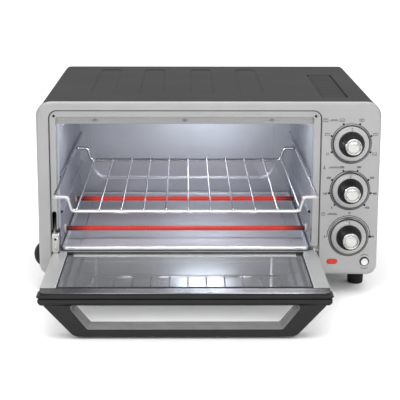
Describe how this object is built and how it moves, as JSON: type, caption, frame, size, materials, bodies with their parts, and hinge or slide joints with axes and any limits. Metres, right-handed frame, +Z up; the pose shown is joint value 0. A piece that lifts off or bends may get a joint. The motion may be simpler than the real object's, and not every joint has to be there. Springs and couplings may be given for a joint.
{
  "type": "toaster oven",
  "caption": "Countertop toaster oven with an open drop-down glass door, a wire rack drawn partly out, red-hot heater rods, round control knobs and a trapezoid handle.",
  "frame": {"origin": "on the worktop, at the middle of the footprint of the whole model with its door open", "axes": "+Z up, +X to the right of someone facing the oven, -Y out of the front"},
  "size_m": [0.443, 0.5326, 0.248],
  "materials": {
    "brushed_silver": "brushed, satin lacquer",
    "black_paint": "satin black powder coat",
    "dark_coat": "satin black powder coat",
    "zinc_sheet": "spangled galvanised sheet",
    "aluminised": "satin aluminised sheet",
    "tray_sheet": "satin aluminised sheet",
    "chrome_wire": "bright chromed wire",
    "heater_glow": "red-hot sheathed rod with dark ends",
    "ceramic": "unglazed ceramic",
    "dark_plastic": "fine-grained moulded plastic",
    "door_steel": "brushed, satin lacquer",
    "hinge_steel": "plated pressing",
    "black_rubber": "moulded rubber",
    "door_glass": "clear tempered glass",
    "knob_silver": "satin silver paint",
    "knob_black": "moulded plastic",
    "knob_chrome": "bright chrome plate",
    "red_lens": "translucent red plastic",
    "phenolic": "moulded phenolic"
  },
  "bodies": {
    "cabinet": {"front_bezel": "brushed_silver", "outer_wrap": "black_paint", "rear_panel": "dark_coat", "base_panel": "zinc_sheet", "front_left_foot": "black_rubber", "front_right_foot": "black_rubber", "rear_left_foot": "black_rubber", "rear_right_foot": "black_rubber", "side_bumper": "black_rubber", "cavity_left_wall": "aluminised", "cavity_right_wall": "aluminised", "cavity_ceiling": "aluminised", "cavity_rear_wall": "aluminised", "lower_front_heater": "heater_glow", "lower_rear_heater": "heater_glow", "upper_front_heater": "heater_glow", "upper_rear_heater": "heater_glow", "lower_left_heater_holder": "ceramic", "lower_right_heater_holder": "ceramic", "upper_left_heater_holder": "ceramic", "upper_right_heater_holder": "ceramic", "heat_shield": "zinc_sheet", "function_switch": "phenolic", "thermostat": "phenolic", "timer": "phenolic", "indicator_lens": "red_lens", "lamp_holder": "phenolic", "button_ring": "knob_silver", "reset_switch": "phenolic", "terminal_block": "ceramic", "cord_inlet": "dark_plastic", "door_bumper_left": "black_rubber", "door_bumper_right": "black_rubber", "hinge_plate_left": "zinc_sheet", "hinge_plate_right": "zinc_sheet", "door_spring": "hinge_steel", "spring_anchor": "zinc_sheet"},
    "door": {"door_frame": "door_steel", "door_inner_frame": "door_steel", "door_glass": "door_glass", "glass_clip_left": "black_rubber", "glass_clip_right": "black_rubber", "door_trim": "dark_plastic", "door_trim_strip": "door_steel", "door_handle": "dark_plastic", "hinge_arm_left": "hinge_steel", "hinge_arm_right": "hinge_steel"},
    "link": {"door_link": "hinge_steel"},
    "rack": {"wire_rack": "chrome_wire"},
    "tray": {"crumb_tray": "tray_sheet"},
    "function_knob": {"function_knob_skirt": "knob_silver", "function_knob_grip": "knob_black", "function_knob_cap": "knob_chrome"},
    "temperature_knob": {"temperature_knob_skirt": "knob_silver", "temperature_knob_grip": "knob_black", "temperature_knob_cap": "knob_chrome"},
    "timer_knob": {"timer_knob_skirt": "knob_silver", "timer_knob_grip": "knob_black", "timer_knob_cap": "knob_chrome"},
    "button": {"reset_button": "knob_chrome"}
  },
  "joints": [
    {"name": "door_hinge", "type": "hinge", "parent": "cabinet", "child": "door", "pos_m": [0.0055, -0.0866, 0.0559], "axis": [1, 0, 0], "range_deg": [-90, 0], "deforming": ["door_spring"]},
    {"name": "link_pivot", "type": "hinge", "parent": "door", "child": "link", "pos_m": [-0.1905, -0.0906, 0.0763], "axis": [1, 0, 0], "range_deg": [0, 109.6]},
    {"name": "rack_slide", "type": "slide", "parent": "cabinet", "child": "rack", "axis": [0, -1, 0], "range_m": [-0.135, 0]},
    {"name": "tray_slide", "type": "slide", "parent": "cabinet", "child": "tray", "axis": [0, -1, 0], "range_m": [0, 0.2]},
    {"name": "function_knob_turn", "type": "hinge", "parent": "cabinet", "child": "function_knob", "pos_m": [0.1843, -0.09, 0.1952], "axis": [0, 1, 0], "range_deg": [-114, 114]},
    {"name": "temperature_knob_turn", "type": "hinge", "parent": "cabinet", "child": "temperature_knob", "pos_m": [0.1843, -0.09, 0.1351], "axis": [0, 1, 0], "range_deg": [-135, 135]},
    {"name": "timer_knob_turn", "type": "hinge", "parent": "cabinet", "child": "timer_knob", "pos_m": [0.1843, -0.09, 0.0746], "axis": [0, 1, 0], "range_deg": [-90, 90]},
    {"name": "button_press", "type": "slide", "parent": "cabinet", "child": "button", "axis": [0, 1, 0], "range_m": [0, 0.002], "stiffness_N_per_m": 300}
  ],
  "couplings": [
    {"joint": "link_pivot", "follows": "door_hinge", "ratio": -1.2167},
    {"joint": "rack_slide", "follows": "door_hinge", "m_per_rad": 0.08594}
  ]
}
